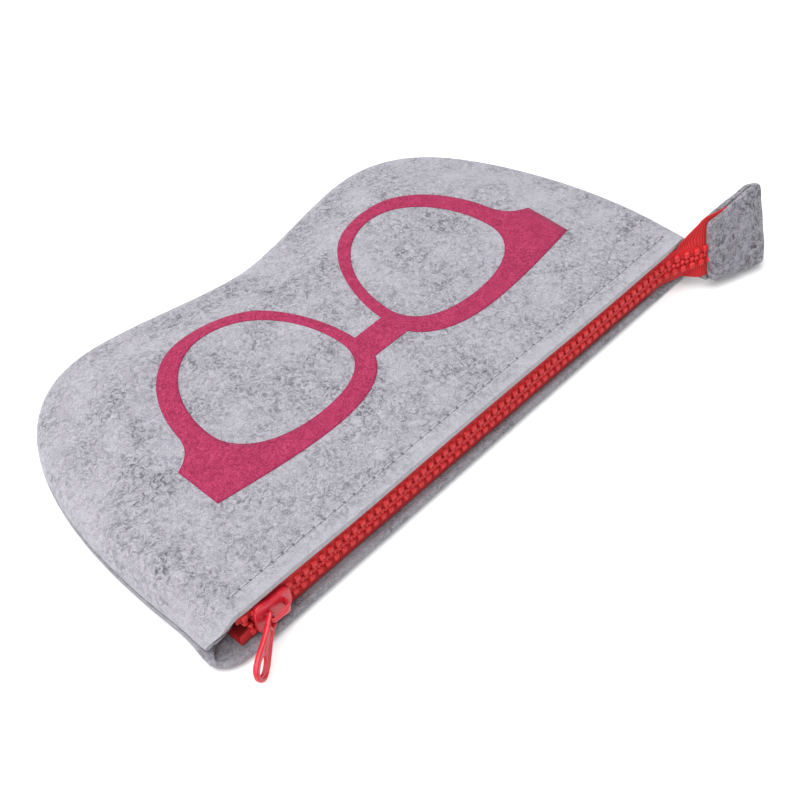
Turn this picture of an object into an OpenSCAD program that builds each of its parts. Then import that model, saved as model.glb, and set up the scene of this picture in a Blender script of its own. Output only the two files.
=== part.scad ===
// Felt zip pouch for a pair of eyeglasses, lying on its back panel.
// Millimetres. +X runs along the mouth away from the slider, -Y is the mouth side, +Z is up.
// The origin is on the table, under the middle of the pouch.

/* [Pouch] */
// Length of the mouth side
pouch_l = 194; // [180:1:206]
// Depth from the mouth edge to the peaks of the two lobes
pouch_d = 101; // [95:1:108]
// Thickness over the filled middle and at the mouth
pouch_h = 15; // [14.8:0.1:17]
// Thickness of the felt
felt_t = 2; // [1.6:0.1:2.2]
// How far the dip between the lobes lies behind their peaks
waist_dip = 8; // [5:0.5:11]
// Distance of each lobe's peak from the middle
lobe_x = 52.5; // [47:0.5:57]
// Sideways lean of the lobes towards the slider end
lobe_lean = 3.7; // [0:0.1:5]
// Outward bow of the two short sides
side_bow = 3.5; // [0:0.5:5]
// Height of the perimeter seam over the table
seam_z = 4.2; // [4.1:0.05:4.6]
// Radius of the rolled edge over the seam
roll_r = 7.3; // [6:0.1:8]
// Width of the seam allowances turned in along the perimeter
allowance = 6; // [5:0.5:6.5]

/* [Glasses motif] */
// Width of the heat-pressed glasses silhouette
motif_w = 141.8; // [130:0.1:146]
// Distance of its brow line from the mouth edge
motif_y = 24; // [22:0.5:26]
// Thickness of the flock film
film_t = 0.2; // [0.1:0.05:0.4]

/* [Zip] */
// Pitch of the moulded teeth along one tape
tooth_pitch = 2.88; // [2.8:0.02:3]
// Width of the closed chain over both rows of teeth
chain_w = 5.8; // [5.6:0.1:6]
// Thickness of a tooth
tooth_t = 2.5; // [2.2:0.1:2.6]
// Thickness of the woven tape
tape_t = 0.45; // [0.35:0.05:0.5]
// Width of each tape from its corded edge to its selvedge
tape_w = 13; // [11:0.5:14]
// Clear gap between the two tapes under the teeth
tape_gap = 2.2; // [2:0.1:2.6]
// Tilt of the chain's face back from upright, in degrees
zip_tilt = 8; // [6:1:10]

/* [Slider] */
// Length of the slider's wings
slider_l = 12.4; // [11.5:0.1:13]
// Thickness of each wing
wing_t = 0.9; // [0.7:0.1:1]
// Thickness of the flanges that fold round the chain
flange_t = 0.6; // [0.5:0.05:0.7]
// Distance of the slider's middle from the pouch's end when the zip is shut
slider_in = 17; // [16:0.5:19]
// Clearance between the slider and the chain
run_gap = 0.1; // [0.08:0.02:0.16]
// Width of the crown, the strap that carries the puller
crown_w = 1; // [0.8:0.05:1]
// Height of the crown over the top wing
crown_h = 2.7; // [2.6:0.05:2.9]

/* [Puller] */
// Length of the puller from its cross bar to its tip
puller_l = 16.7; // [15:0.1:17]
// Width of its round end
puller_w = 6.2; // [5.5:0.1:6.4]
// Thickness of the puller
puller_t = 1.5; // [1.2:0.1:1.6]
// Diameter of its cross bar
bar_d = 1.1; // [0.9:0.05:1.15]
// Sideways turn of the hanging puller, in degrees
puller_turn = 23; // [18:1:24]
// Lift of the puller off the slider's face at rest, in degrees
puller_lift = 29; // [27:1:33]

/* [Tail tab] */
// Height of the folded felt tab
tab_h = 22; // [20:0.5:23]
// Length of the tab from its open side to its fold
tab_l = 22.6; // [20:0.2:24]
// How many sixths of the tab's length the tapes reach into it
tab_grip = 3; // [2:1:4]

/* [Stitching] */
// Distance of the mouth stitching from the felt's cut edge
stitch_in = 5; // [4:0.5:6]
// Length of one stitch with its gap
stitch_pitch = 3.6; // [3:0.1:4.5]
// Diameter of the sewing thread
thread_d = 0.45; // [0.3:0.05:0.5]

/* [Hidden] */

felt_gap = 0.05;                    // between layers that only touch
mouth_y = -50;                      // cut edge of the front panel
half_l = pouch_l / 2;
seam_fold = 0.8;                    // where an allowance turns off the wall
seam_drop = 0.9;                    // height of the fold over or under the seam
fold_round = 0.5;                   // and on its inside

felt_grey = "#b5b1ba";
flock_pink = "#c83a69";
tape_red = "#b3161f";
tooth_red = "#c8242e";
gloss_red = "#e03c50";
thread_grey = "#d8d6dc";

// ---- Small geometry helpers ----

function smooth(f) = let (c = min(max(f, 0), 1)) c * c * (3 - 2 * c);
function mix(a, b, f) = a + (b - a) * f;
function unit(v) = v / norm(v);
function flat(rows) = [for (r = rows) each r];
function bezier(p, t) = pow(1 - t, 3) * p[0] + 3 * pow(1 - t, 2) * t * p[1]
    + 3 * (1 - t) * t * t * p[2] + t * t * t * p[3];

// A closed sheet between two equal grids of points. With wrap the grid closes on itself,
// and its innermost row is covered by a flat cap; flip turns the faces round. The squares
// are split the other way in the second half, which keeps a mirrored sheet mirrored.
module skin(outer, inner, wrap = false, flip = false) {
    n = len(outer);
    m = len(outer[0]);
    base = n * m;
    last = wrap ? n - 1 : n - 2;
    sheets = [for (i = [0:last], j = [0:m - 2])
        let (a = i * m + j, b = (i + 1) % n * m + j, c = base + a, d = base + b)
        each i < n / 2
            ? [[a, a + 1, b], [a + 1, b + 1, b], [c, d, c + 1], [d, d + 1, c + 1]]
            : [[a, b + 1, b], [a, a + 1, b + 1], [c, d, d + 1], [c, d + 1, c + 1]]];
    first_rim = [for (i = [0:last])
        let (a = i * m, b = (i + 1) % n * m)
        each [[a, b, base + b], [a, base + b, base + a]]];
    last_rim = wrap
        ? [[for (i = [n - 1:-1:0]) i * m + m - 1], [for (i = [0:n - 1]) base + i * m + m - 1]]
        : [for (i = [0:last])
            let (a = i * m + m - 1, b = (i + 1) * m + m - 1)
            each [[b, a, base + a], [b, base + a, base + b]]];
    ends = wrap ? [] : [for (j = [0:m - 2])
        let (b = (n - 1) * m + j)
        each [[j + 1, j, base + j], [j + 1, base + j, base + j + 1],
            [b, b + 1, base + b + 1], [b, base + b + 1, base + b]]];
    faces = concat(sheets, first_rim, last_rim, ends);
    polyhedron(concat(flat(outer), flat(inner)),
        flip ? [for (f = faces) [for (k = [len(f) - 1:-1:0]) f[k]]] : faces, convexity = 10);
}

// The two faces of a thin sheet whose middle is the grid rows, t thick.
function across(rows, i, j) = let (
    n = len(rows), m = len(rows[0]),
    du = rows[min(i + 1, n - 1)][j] - rows[max(i - 1, 0)][j],
    dv = rows[i][min(j + 1, m - 1)] - rows[i][max(j - 1, 0)])
    unit(cross(du, dv));
function offset_rows(rows, h) = [for (i = [0:len(rows) - 1])
    [for (j = [0:len(rows[0]) - 1]) rows[i][j] + across(rows, i, j) * h]];
module sheet(rows, t) {
    skin(offset_rows(rows, t / 2), offset_rows(rows, -t / 2));
}

// ---- Place of the zip in the mouth ----

// Half widths of the slider at its shoulders, where the parted rows enter it, and at its throat.
parted = 1;                         // each row's shift at the shoulders
parting_l = 5;                      // length over which it builds up from the throat
shoulder_y = chain_w / 2 + parted + run_gap + flange_t;
throat_y = chain_w / 2 + run_gap + flange_t;
channel_z = tooth_t / 2 + run_gap;  // from the chain's middle to a wing's inside
mouth_clear = 0.5;                  // slider to the tape behind the front panel
margin_clear = 0.3;                 // slider to the back panel's margin
throat_x = -1;                      // from the slider's middle to its throat
margin_lean = 0.0085;               // the margin stands further out at the slider end
tail_start = half_l - 24;           // where the margin begins to lie down
tail_flat = half_l - 16;            // from here on it is flat
slider_x = slider_in - half_l;      // place of the shut slider along the mouth

roof_z = pouch_h - felt_t - felt_gap - tape_t / 2;    // middle of the tape under the front
floor_z = felt_t + felt_gap + tape_t / 2;             // middle of the tape on the back
chain_z = roof_z - tape_t / 2 - mouth_clear - shoulder_y * cos(zip_tilt)
    + (channel_z + wing_t) * sin(zip_tilt);
margin_top = chain_z - shoulder_y * cos(zip_tilt) + channel_z / 2 * sin(zip_tilt) - margin_clear;
chain_y = mouth_y + 0.15;
up = [0, sin(zip_tilt), cos(zip_tilt)];
tape_low_y = chain_y - (chain_z - margin_top) * tan(zip_tilt) - tape_t / 2;
margin_out = tape_low_y - 2 * felt_gap - felt_t - margin_lean * tail_start;

// ---- Plan of the pouch ----

side_steps = 14;
waist_steps = 8;
lobe_peak = [lobe_x, mouth_y + pouch_d];
waist = [0, mouth_y + pouch_d - waist_dip];
side_curve = [[half_l, mouth_y], [half_l + side_bow, mouth_y + 0.53 * pouch_d],
    lobe_peak + [37, 0], lobe_peak];
waist_curve = [lobe_peak, lobe_peak - [15, 0], waist + [14, 0], waist];
right_half = concat([for (k = [0:side_steps]) bezier(side_curve, k / side_steps)],
    [for (k = [1:waist_steps]) bezier(waist_curve, k / waist_steps)]);
left_half = [for (k = [len(right_half) - 2:-1:0]) [-right_half[k].x, right_half[k].y]];
function lean(p) = [p.x - lobe_lean * (p.y - mouth_y) / pouch_d, p.y];
outline = [for (p = concat(right_half, left_half)) lean(p)];

// Unit vector pointing into the pouch at point i of a path that runs anticlockwise.
function inward(path, i, wrap) = let (
    n = len(path),
    a = wrap ? path[(i + n - 1) % n] : path[max(i - 1, 0)],
    b = wrap ? path[(i + 1) % n] : path[min(i + 1, n - 1)],
    t = unit(b - a))
    !wrap && i == 0 ? [-1, 0] : !wrap && i == n - 1 ? [1, 0] : [-t.y, t.x];

// ---- Felt panels ----

lobe_h = 10.5;                      // thickness of the rolled edge at the lobes
edge_ease = 0.7;                    // share of the depth over which it falls to that
crown_reach = 24;                   // how far in the panel rises to its full height
roll_steps = 5;
crown_rows = [0.35, 0.7, 1];
core_rows = [0.35, 0.7, 0.93, 1];
core_half = pouch_l / 4;            // half the length of the mouth edge that the last row spans

// Height of the rolled edge: full at the mouth, lower at the lobes.
function edge_h(p) = mix(pouch_h, lobe_h, smooth((p.y - mouth_y - tape_w) / (edge_ease * pouch_d)));

// The section of the front panel from the end of its turned-in allowance, over the rolled
// edge, to the flat middle: [depth, height] of its outside and of its inside.
function front_section(h) = let (base = seam_z + seam_drop, lining = seam_z + felt_t + fold_round) concat(
    [[[allowance, seam_z], [allowance, seam_z + felt_t]],
        [[seam_fold, seam_z], [seam_fold + felt_t, seam_z + felt_t]]],
    [for (k = [0:roll_steps]) let (a = 90 * k / roll_steps)
        [[roll_r * (1 - cos(a)), mix(base, h, sin(a))],
            [roll_r - (roll_r - felt_t) * cos(a), mix(lining, h - felt_t, sin(a))]]],
    [for (f = crown_rows) let (d = mix(roll_r, crown_reach, f), z = mix(h, pouch_h, smooth(f)))
        [[d, z], [d, z - felt_t]]]);

function front_rows(face) = [for (i = [0:len(outline) - 1]) let (
        p = outline[i], n = inward(outline, i, false),
        section = front_section(edge_h(p)),
        ring = [for (s = section) let (q = p + n * s[face].x) [q.x, q.y, s[face].y]],
        rim = ring[len(ring) - 1],
        core = [core_half * (1 - 2 * i / (len(outline) - 1)), mouth_y, rim.z])
    concat(ring, [for (f = core_rows) mix(rim, core, f)])];

module front_panel() {
    color(felt_grey) skin(front_rows(0), front_rows(1));
}

// The back panel is a flat tray. Along the mouth its wall is the zip's lower margin, which
// lies down flat where the tail of the zip passes over it.
corner_r = 6.5;
corner_steps = 4;
mouth_steps = 12;
lip_round = 0.3;
back_roll = 4;

shared = [for (i = [1:len(outline) - 2]) outline[i]];
function corner(side, k) = let (
        a = 90 * k / corner_steps, x = side * half_l, y = margin_y(side * half_l))
    [x - side * corner_r * (1 - cos(a)), y + corner_r * (1 - sin(a))];
function margin_y(x) = margin_out + margin_lean * x;
tray_corner_left = [for (k = [0:corner_steps]) corner(-1, k)];
mouth_stations = concat([for (k = [1:mouth_steps]) mix(-half_l + corner_r, tail_start, k / mouth_steps)],
    [(tail_start + tail_flat) / 2, tail_flat]);
tray_mouth = [for (x = mouth_stations) [x, margin_y(x)]];
tray_corner_right = [for (k = [corner_steps:-1:0]) corner(1, k)];
tray = concat(shared, tray_corner_left, tray_mouth, tray_corner_right);

function margin_h(x) =
    mix(margin_top, felt_t + felt_gap, smooth((x - tail_start) / (tail_flat - tail_start)));
function side_section() = let (top = seam_z - felt_gap, base = top - seam_drop) concat(
    [[[allowance, top], [allowance, top - felt_t]],
        [[seam_fold, top], [seam_fold + felt_t, top - felt_t]]],
    [for (k = [0:roll_steps]) let (a = 90 * k / roll_steps)
        [[back_roll * (1 - cos(a)), base * (1 - sin(a))],
            [back_roll - (back_roll - felt_t) * cos(a), felt_t + 2 * felt_gap * (1 - sin(a))]]]);
function lip_section(h) = let (base = h - seam_drop) concat(
    [[[lip_round, h], [felt_t - lip_round, h]],
        [[0, h - 2 * lip_round], [felt_t, max(h - 2 * lip_round, felt_t + felt_gap / 2)]]],
    [for (k = [0:roll_steps]) let (a = 90 * k / roll_steps)
        [[back_roll * (1 - cos(a)), base * (1 - sin(a))],
            [back_roll - (back_roll - felt_t) * cos(a), felt_t + max(base - felt_t, 0) * (1 - sin(a))]]]);
// 0 along the sides and lobes, 1 along the mouth
function at_mouth(i) = let (k = min(i - len(shared), len(tray) - 1 - i)) smooth((k - 0.5) / 3);

function back_rows(face) = [for (i = [0:len(tray) - 1]) let (
        p = tray[i], n = inward(tray, i, true), f = at_mouth(i),
        side = side_section(), lip = lip_section(margin_h(p.x)))
    [for (j = [0:len(side) - 1]) let (s = mix(side[j][face], lip[j][face], f), q = p + n * s.x)
        [q.x, q.y, s.y]]];

module back_panel() {
    color(felt_grey) skin(back_rows(0), back_rows(1), wrap = true, flip = true);
}

// ---- Glasses motif ----

motif_scale = motif_w / 141.8;      // its outline below is drawn 141.8 wide

// Right half of the frame, from the bridge round the rim and back along the brow.
rim_outside = concat(
    [for (k = [0:6]) bezier([[5.4, 19], [5.4, 31], [13.5, 55], [34.5, 55]], k / 6)],
    [for (k = [1:6]) bezier([[34.5, 55], [52, 55], [61, 41], [63, 27.5]], k / 6)],
    [for (k = [1:5]) bezier([[63, 27.5], [64, 23], [66.5, 20.5], [70.9, 18.7]], k / 5)],
    [[70.9, 3.6]],
    [for (k = [1:6]) bezier([[70.9, 3.6], [55, 1.2], [43, 0], [33, 0]], k / 6)],
    [for (k = [1:6]) bezier([[33, 0], [18, 0], [10, 4], [6.6, 10]], k / 6)]);
lens_curves = [
    [[9.3, 20.5], [9.3, 37], [20.5, 50.5], [34.3, 50.5]],
    [[34.3, 50.5], [46.7, 50.5], [56.8, 38], [56.8, 22.6]],
    [[56.8, 22.6], [56.8, 12.5], [46.5, 6.5], [31.8, 6.5]],
    [[31.8, 6.5], [17, 6.5], [9.3, 11.5], [9.3, 20.5]]];
lens_outline = [for (c = lens_curves, k = [0:6]) bezier(c, k / 7)];
bridge_top = 10;
bridge_bottom = 19;
bridge_half = 7;

module glasses_motif() {
    color(flock_pink)
    translate([0, mouth_y + motif_y, pouch_h])
    linear_extrude(film_t)
    scale([motif_scale, motif_scale])
    difference() {
        union() {
            for (side = [-1, 1]) polygon([for (p = rim_outside) [side * p.x, p.y]]);
            translate([-bridge_half, bridge_top]) square([2 * bridge_half, bridge_bottom - bridge_top]);
        }
        for (side = [-1, 1]) polygon([for (p = lens_outline) [side * p.x, p.y]]);
    }
}

// ---- Run of the zip ----

chain_start = -(half_l - roll_r) + 0.6;   // the chain and tapes are sewn in here
bend_x = half_l - 17;               // the chain runs straight up to here
tab_near = [half_l + 1.2, mouth_y - 7.8, 11.4];       // middle of the tab's open side
tab_far = [half_l + 23.4, mouth_y - 12.4, 10.3];      // middle of its folded side
tab_axis = unit(tab_far - tab_near);
near_up = unit([5, 5.7, 19]);       // the tab's open side leans back
far_up = unit([10.9, 10.4, 20.8]);  // and its fold leans further
tab_steps = 6;
tab_flat_l = tab_l - 1.5;           // from the open side to where the fold begins
// Direction up the tab, f from its open side to its fold.
function tab_up(f) = unit(mix(near_up, far_up, f));
tail_curve = [[bend_x, chain_y, chain_z], [bend_x + 8, chain_y, chain_z],
    tab_near - 7 * tab_axis, tab_near];
tail_steps = 12;
tail_points = [for (k = [0:tail_steps]) bezier(tail_curve, k / tail_steps)];
function run_to(k) = k == 0 ? 0 : run_to(k - 1) + norm(tail_points[k] - tail_points[k - 1]);
tail_runs = [for (k = [0:tail_steps]) run_to(k)];
tail_l = tail_runs[tail_steps];

// A point of the chain's middle line, its direction and the tapes' upward direction there,
// s being the length along the line, equal to x on the straight part.
function tail_step(r, k = 0) = k >= tail_steps - 1 || tail_runs[k + 1] > r ? k : tail_step(r, k + 1);
function chain_at(s) = let (r = s - bend_x)
    r <= 0 ? [s, chain_y, chain_z]
    : r >= tail_l ? tab_near + tab_axis * (r - tail_l)
    : let (k = tail_step(r), f = (r - tail_runs[k]) / (tail_runs[k + 1] - tail_runs[k]))
        mix(tail_points[k], tail_points[k + 1], f);
function chain_dir(s) = unit(chain_at(s + 1) - chain_at(s - 1));
function chain_up(s) = let (
        r = s - bend_x,
        turned = smooth(r / tail_l),
        raw = r <= tail_l ? mix(up, near_up, turned) : tab_up((r - tail_l) / tab_flat_l),
        t = chain_dir(s))
    unit(raw - t * (raw * t) * (1 - turned));

// How far each row stands off its closed place: nothing right of the slider's throat.
function parting(s) = parted / parting_l * max(0, slider_x + throat_x - s);

// ---- Tapes ----

tape_stations = concat([for (k = [0:5]) chain_start + k * 3],
    [-60, 0, 60], [for (k = [0:9]) bend_x + tail_l * k / 9],
    [for (k = [1:tab_grip]) bend_x + tail_l + k * tab_flat_l / tab_steps]);
tape_in = tape_gap / 2;
roof_fold_y = chain_y + (roof_z - chain_z) * tan(zip_tilt);
floor_fold_y = chain_y - (chain_z - floor_z) * tan(zip_tilt);
corner_x = half_l - 4;              // the tail is free of the panels from here on

// Three leading points of a tape's section: corded edge, fold and selvedge.
function front_tape_section(s) = let (
        c = chain_at(s), u = chain_up(s), free = smooth((c.x - corner_x) / (tab_near.x - corner_x)),
        leaving = smooth((c.x - bend_x) / 8),
        fold = [c.x, mix(roof_fold_y, mouth_y - 0.8, leaving), roof_z],
        selvedge = fold + [0, mix(tape_w - 5, 0.3, leaving), 0])
    [c + u * (tape_in + parting(s)),
        mix(fold, c + u * (tape_in + tape_w / 2), free),
        mix(selvedge, c + u * (tape_in + tape_w - 1), free)];
function back_tape_section(s) = let (
        c = chain_at(s), u = chain_up(s), free = smooth((c.x - bend_x - 8) / (tab_near.x - bend_x - 8)),
        leaving = smooth((c.x - tail_flat) / 12),
        fold = [c.x, floor_fold_y - 3.5 * leaving, floor_z + 0.7 * leaving],
        selvedge = fold + [0, mix(tape_w - 5, 1, leaving), 0])
    [c - u * (tape_in + parting(s)),
        mix(fold, c - u * (tape_in + (tab_h / 2 - tape_in) / 2), free),
        mix(selvedge, c - u * (tab_h / 2 - 0.6), free)];
tape_shares = [0, 0.5, 1];
function tape_row(q) = concat([for (f = tape_shares) mix(q[0], q[1], f)],
    [for (f = tape_shares) if (f > 0) mix(q[1], q[2], f)]);

module zip_tape_front() {
    color(tape_red) sheet([for (s = tape_stations) tape_row(front_tape_section(s))], tape_t);
}

module zip_tape_back() {
    color(tape_red) sheet([for (s = tape_stations) tape_row(back_tape_section(s))], tape_t);
}

// ---- Teeth ----

tooth_count = floor((bend_x + tail_l - 3.5 - chain_start) / tooth_pitch);
head_reach = 0.7;                   // a head passes the chain's middle by this much
// Half width of a tooth, from the tip of its head, through the neck, to the block that
// grips the tape: [distance from the chain's middle, half width]
tooth_form = [[-head_reach, 0.5], [-0.55, 0.78], [-0.3, 0.85], [0, 0.66], [0.3, 0.5], [0.66, 0.52],
    [0.76, 0.92], [chain_w / 2 - 0.3, 0.9], [chain_w / 2, 0.6]];
tooth_plan = concat([for (p = tooth_form) [p.y, p.x]],
    [for (k = [len(tooth_form) - 1:-1:0]) [-tooth_form[k].y, tooth_form[k].x]]);
web_t = tooth_t - 0.6;              // heads and necks are thinner than the blocks
block_in = 0.95;
block_half = 0.8;

// One tooth, its head pointing to -Y, its length along the chain to X.
module tooth() {
    translate([0, 0, -web_t / 2]) linear_extrude(web_t) polygon(tooth_plan);
    translate([-block_half, block_in, -tooth_t / 2])
        cube([2 * block_half, chain_w / 2 - 0.15 - block_in, tooth_t]);
}

// Puts its child at length s of the chain, X along it and Y towards the front tape.
module on_chain(s) {
    t = chain_dir(s);
    n = unit(cross(t, chain_up(s)));
    u = cross(n, t);
    c = chain_at(s);
    multmatrix([[t.x, u.x, n.x, c.x], [t.y, u.y, n.y, c.y], [t.z, u.z, n.z, c.z], [0, 0, 0, 1]])
        children();
}

module tooth_row(side, lag) {
    for (k = [0:tooth_count - 1]) {
        s = chain_start + 1 + lag + k * tooth_pitch;
        on_chain(s) rotate([side > 0 ? 0 : 180, 0, 0]) translate([0, parting(s), 0]) tooth();
    }
}

module zip_teeth_front() {
    color(tooth_red) tooth_row(1, 0);
}

module zip_teeth_back() {
    color(tooth_red) tooth_row(-1, tooth_pitch / 2);
}

// ---- Slider ----

nose_x = slider_l / 2;
shoulder_x = -slider_l / 2 + 1.4;

// Half of a wing's plan, from the nose to the rounded end at the shoulders.
function wing_plan(grow) = let (
        half = [[nose_x + grow - 0.6, 0], [nose_x + grow - 0.6, throat_y + grow - 1.2],
            [nose_x + grow - 1.3, throat_y + grow - 0.3], [nose_x - 2.4, throat_y + grow],
            [throat_x, throat_y + grow], [shoulder_x + 0.6, shoulder_y + grow - 0.05],
            [shoulder_x - 0.5, shoulder_y + grow - 0.25], [-nose_x - grow + 0.3, shoulder_y + grow - 1.3],
            [-nose_x - grow, shoulder_y + grow - 2.6], [-nose_x - grow + 0.5, 0]])
    concat(half, [for (k = [len(half) - 2:-1:1]) [half[k].x, -half[k].y]]);
channel_plan = let (a = throat_y - flange_t, b = shoulder_y - flange_t, x = nose_x + 1)
    [[x, a], [throat_x, a], [shoulder_x - 0.1, b - 0.05], [-x, b + 0.2], [-x, -b - 0.2],
        [shoulder_x - 0.1, -b + 0.05], [throat_x, -a], [x, -a]];
flange_z = tape_t / 2 + 0.3;        // the flanges leave this slot for the tapes
// The post that parts the rows fits between their heads with the running clearance.
function post_half(x) = parted / parting_l * (throat_x - x) - head_reach - run_gap;
post_left = -nose_x + 0.1;
post_tip = throat_x - parting_l * (head_reach + run_gap + 0.05) / parted;
post_plan = [[post_left, post_half(post_left)], [post_tip, post_half(post_tip)],
    [post_tip, -post_half(post_tip)], [post_left, -post_half(post_left)]];

module wing() {
    translate([0, 0, channel_z]) linear_extrude(wing_t) polygon(wing_plan(0));
    difference() {
        translate([0, 0, flange_z]) linear_extrude(channel_z - flange_z + wing_t / 2) polygon(wing_plan(0));
        translate([0, 0, flange_z - 1]) linear_extrude(channel_z - flange_z + 1) polygon(channel_plan);
    }
}

module slider_body() {
    color(gloss_red) on_chain(slider_x) {
        union() {
            wing();
            rotate([180, 0, 0]) wing();
            translate([0, 0, -channel_z - wing_t / 2]) linear_extrude(2 * channel_z + wing_t) polygon(post_plan);
        }
    }
}

// The crown is a strap bent over the top wing, along the slider.
crown_t = 0.6;
crown_left = -3.45;
crown_right = 3.2;
crown_z = channel_z + wing_t;
function crown_arc(inset, h) = [for (k = [0:10]) let (a = 180 - 18 * k)
    [mix(crown_left + inset, crown_right - inset, 0.5 + 0.5 * sign(cos(a)) * pow(abs(cos(a)), 0.55)),
        h * pow(max(sin(a), 0), 0.55)]];

module slider_crown() {
    color(gloss_red) on_chain(slider_x)
    translate([0, crown_w / 2, crown_z]) rotate([90, 0, 0]) linear_extrude(crown_w)
    polygon(concat(crown_arc(0, crown_h), [for (k = [10:-1:0]) crown_arc(crown_t, crown_h - crown_t)[k]]));
}

// ---- Puller ----

bar_x = -1.65;
bar_z = crown_z + bar_d / 2 + 0.3;
bar_shift = 0.3;                    // the hanging puller has slid this far along its bar
eye_half = 1.25;                    // half the width of the eye that the crown passes through
eye_l = 3;
arm_w = 0.55;
root_half = eye_half + arm_w;
slot_w = 1.9;                       // the lens-shaped hole in the round end
slot_ends = [2.3, 8.6];             // its ends' distances from the tip

// The puller lies in the XY plane with its cross bar on the Y axis and its tip at +X.
function puller_side(x) = [x, mix(root_half, puller_w / 2, smooth((x - 4.5) / (puller_l - 8.5)))];
puller_xs = [for (x = [eye_l:1:puller_l - puller_w / 2]) x];
module puller_plan() {
    difference() {
        union() {
            translate([0, -root_half]) square([eye_l + 0.5, 2 * root_half]);
            polygon(concat([for (x = puller_xs) puller_side(x)],
                [for (k = [len(puller_xs) - 1:-1:0]) let (q = puller_side(puller_xs[k])) [q.x, -q.y]]));
            translate([puller_l - puller_w / 2, 0]) circle(d = puller_w, $fn = 48);
        }
        translate([bar_d / 2 - 0.1, -eye_half]) square([eye_l - bar_d / 2 + 0.1, 2 * eye_half]);
        for (side = [-1, 1]) polygon([[puller_l - slot_ends[1], 0],
            for (k = [0:8]) [puller_l - mix(slot_ends[1], slot_ends[0], k / 8),
                side * slot_w / 2 * sin(180 * pow(k / 8, 1.25))]]);
    }
}

module puller_shape() {
    translate([0, 0, -puller_t / 2]) linear_extrude(puller_t) puller_plan();
    rotate([90, 0, 0]) cylinder(h = 2 * root_half, d = bar_d, center = true, $fn = 48);
}

module puller() {
    color(gloss_red) on_chain(slider_x) translate([bar_x, 0, bar_z])
    rotate([0, 0, 180 + puller_turn]) rotate([0, -puller_lift, 0])
    translate([0, -bar_shift, 0]) puller_shape();
}

// ---- Tail tab ----

tab_half = (2 * felt_t + tape_t) / 2 + 3 * felt_gap;
// A point of the tab's middle sheet, f from the open side to the fold, h from -1 to 1.
function tab_point(f, h) = tab_near + tab_axis * tab_flat_l * f + tab_up(f) * h * tab_h / 2;
function tab_normal(f) = unit(cross(tab_axis, tab_up(f)));
// Outline of one end-on section: the front layer, round the fold, and the back layer.
function tab_path(d) = concat(
    [for (k = [0:tab_steps]) [k / tab_steps, d, 0]],
    [for (a = [30:30:150]) [1, d * cos(a), abs(d) * sin(a)]],
    [for (k = [tab_steps:-1:0]) [k / tab_steps, -d, 0]]);
tab_heights = [-1, -0.5, 0, 0.5, 1];
function tab_rows(d) = [for (h = tab_heights) [for (q = tab_path(d))
    tab_point(q[0], h) + tab_normal(q[0]) * q[1] + tab_axis * q[2]]];

module tail_tab() {
    color(felt_grey) skin(tab_rows(tab_half), tab_rows(tab_half - felt_t));
}

// ---- Stitching ----

// A row of stitches from a to b, each a straight length of thread.
module stitch_row(a, b) {
    n = floor(norm(b - a) / stitch_pitch);
    d = unit(b - a);
    for (k = [0:n - 1])
        translate(a + d * (k + 0.1) * stitch_pitch)
        rotate([0, acos(d.z), atan2(d.y, d.x)])
        cylinder(h = 0.8 * stitch_pitch, d = thread_d, $fn = 16);
}

stitch_end = half_l - roll_r - 1;
module mouth_stitch_front() {
    color(thread_grey) stitch_row([-stitch_end, mouth_y + stitch_in, pouch_h],
        [stitch_end, mouth_y + stitch_in, pouch_h]);
}

margin_angle = 50;                  // where round the margin's roll its stitching lies
module mouth_stitch_back() {
    in = back_roll * (1 - cos(margin_angle));
    z = (margin_top - seam_drop) * (1 - sin(margin_angle));
    color(thread_grey) stitch_row([-stitch_end, margin_y(-stitch_end) + in, z],
        [tail_start - 4, margin_y(tail_start - 4) + in, z]);
}

seam_inset = 3.6;
seam_points = [for (i = [1:len(outline) - 2]) let (q = outline[i] + inward(outline, i, false) * seam_inset)
    [q.x, q.y, seam_z + felt_t]];
module perimeter_seam() {
    color(thread_grey) for (i = [0:len(seam_points) - 2]) {
        a = seam_points[i];
        b = seam_points[i + 1];
        n = max(1, round(norm(b - a) / stitch_pitch));
        for (k = [0:n - 1]) {
            p = mix(a, b, (k + 0.1) / n);
            translate(p) rotate([0, 90, atan2(b.y - a.y, b.x - a.x)])
                cylinder(h = 0.8 * norm(b - a) / n, d = thread_d, $fn = 16);
        }
    }
}

front_panel();
back_panel();
glasses_motif();
zip_tape_front();
zip_tape_back();
zip_teeth_front();
zip_teeth_back();
slider_body();
slider_crown();
puller();
tail_tab();
mouth_stitch_front();
mouth_stitch_back();
perimeter_seam();
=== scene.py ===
"""A felt zip pouch for eyeglasses, lying on its back panel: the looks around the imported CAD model.

Sizes are in millimetres, as in the pouch's own drawing, and become metres when a mesh is made.
X runs along the mouth away from the slider, -Y is the mouth side, Z is up, table at z = 0.
"""

import bmesh
import bpy
import numpy as np
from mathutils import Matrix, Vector


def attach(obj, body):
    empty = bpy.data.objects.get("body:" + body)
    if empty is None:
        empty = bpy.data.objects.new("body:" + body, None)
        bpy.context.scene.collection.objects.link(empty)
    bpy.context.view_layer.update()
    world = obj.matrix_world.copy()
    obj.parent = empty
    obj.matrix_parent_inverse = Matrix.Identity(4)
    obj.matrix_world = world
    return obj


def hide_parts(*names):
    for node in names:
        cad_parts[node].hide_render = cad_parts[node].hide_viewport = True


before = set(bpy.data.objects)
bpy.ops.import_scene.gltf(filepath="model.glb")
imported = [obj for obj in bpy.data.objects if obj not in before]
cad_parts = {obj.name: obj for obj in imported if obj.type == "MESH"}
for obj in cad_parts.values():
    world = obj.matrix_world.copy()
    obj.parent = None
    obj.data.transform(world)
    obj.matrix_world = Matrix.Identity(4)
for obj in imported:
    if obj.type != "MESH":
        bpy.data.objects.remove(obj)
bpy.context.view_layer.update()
scene = bpy.context.scene

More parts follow.
